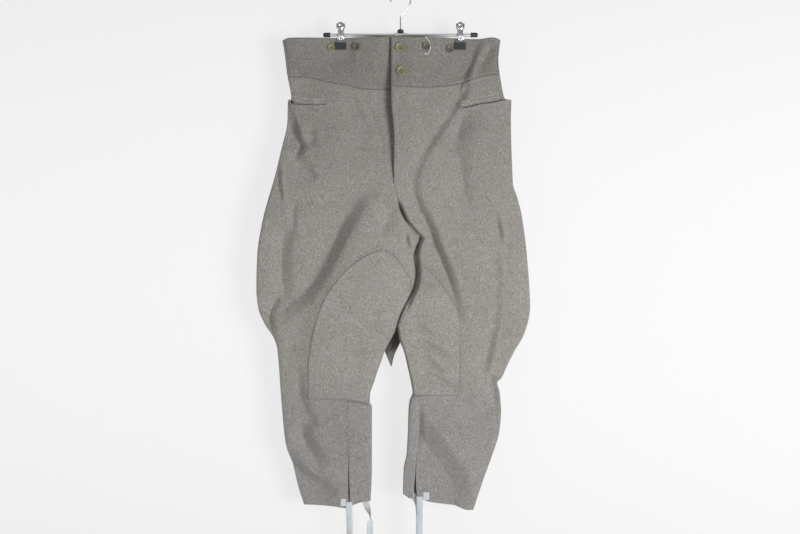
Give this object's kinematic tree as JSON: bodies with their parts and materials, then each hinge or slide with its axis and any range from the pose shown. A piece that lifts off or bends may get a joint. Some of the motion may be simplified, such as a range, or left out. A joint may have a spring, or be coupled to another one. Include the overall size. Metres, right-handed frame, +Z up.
{
  "type": "uniform riding breeches on a clip hanger",
  "caption": "Wool riding breeches with a deep waistband, button fly, ballooned thighs, knee patches and tie tapes, hung by the waist from a chrome clip hanger.",
  "frame": {"origin": "inside top of the hanger's hook, where a rail or peg carries it", "axes": "+Z up, -Y the front of the garment, +X the wearer's left"},
  "size_m": [0.5428, 0.0797, 1.2779],
  "materials": {
    "wool": "fulled grey melange wool with pale hairs",
    "olive_button": "moulded olive four-hole button, lightly worn",
    "brown_button": "moulded dark brown four-hole button",
    "cotton_tape": "pale blue-grey twilled cotton tape",
    "chrome": "bright chrome plate",
    "black_rubber": "matt black rubber"
  },
  "bodies": {
    "root": {"waistband_front_right": "wool", "waistband_front_left": "wool", "waistband_back_right": "wool", "waistband_back_left": "wool", "front_right": "wool", "front_left": "wool", "back_right": "wool", "back_left": "wool", "fly_button_stand": "wool", "pocket_facing_right": "wool", "pocket_facing_left": "wool", "knee_patch_right": "wool", "knee_patch_left": "wool", "shin_inner_right": "wool", "shin_inner_left": "wool", "waist_button_upper": "olive_button", "waist_button_lower": "olive_button", "brace_button_1": "olive_button", "brace_button_2": "brown_button", "brace_button_3": "brown_button", "brace_button_4": "brown_button", "tape_end_right": "cotton_tape", "tape_end_left": "cotton_tape", "tie_tape_right_outer": "cotton_tape", "tie_tape_right_inner": "cotton_tape", "tie_tape_left_outer": "cotton_tape", "tie_tape_left_inner": "cotton_tape", "hanger_bar": "chrome", "hanger_cap_left": "black_rubber", "hanger_cap_right": "black_rubber", "hanger_sleeve": "chrome", "hanger_ferrule": "black_rubber", "hanger_hook": "chrome", "clip_right_front_jaw": "chrome", "clip_right_back_jaw": "chrome", "clip_right_front_pad": "black_rubber", "clip_right_back_pad": "black_rubber", "clip_right_spring_barrel": "chrome", "clip_left_front_jaw": "chrome", "clip_left_back_jaw": "chrome", "clip_left_front_pad": "black_rubber", "clip_left_back_pad": "black_rubber", "clip_left_spring_barrel": "chrome"}
  },
  "joints": []
}
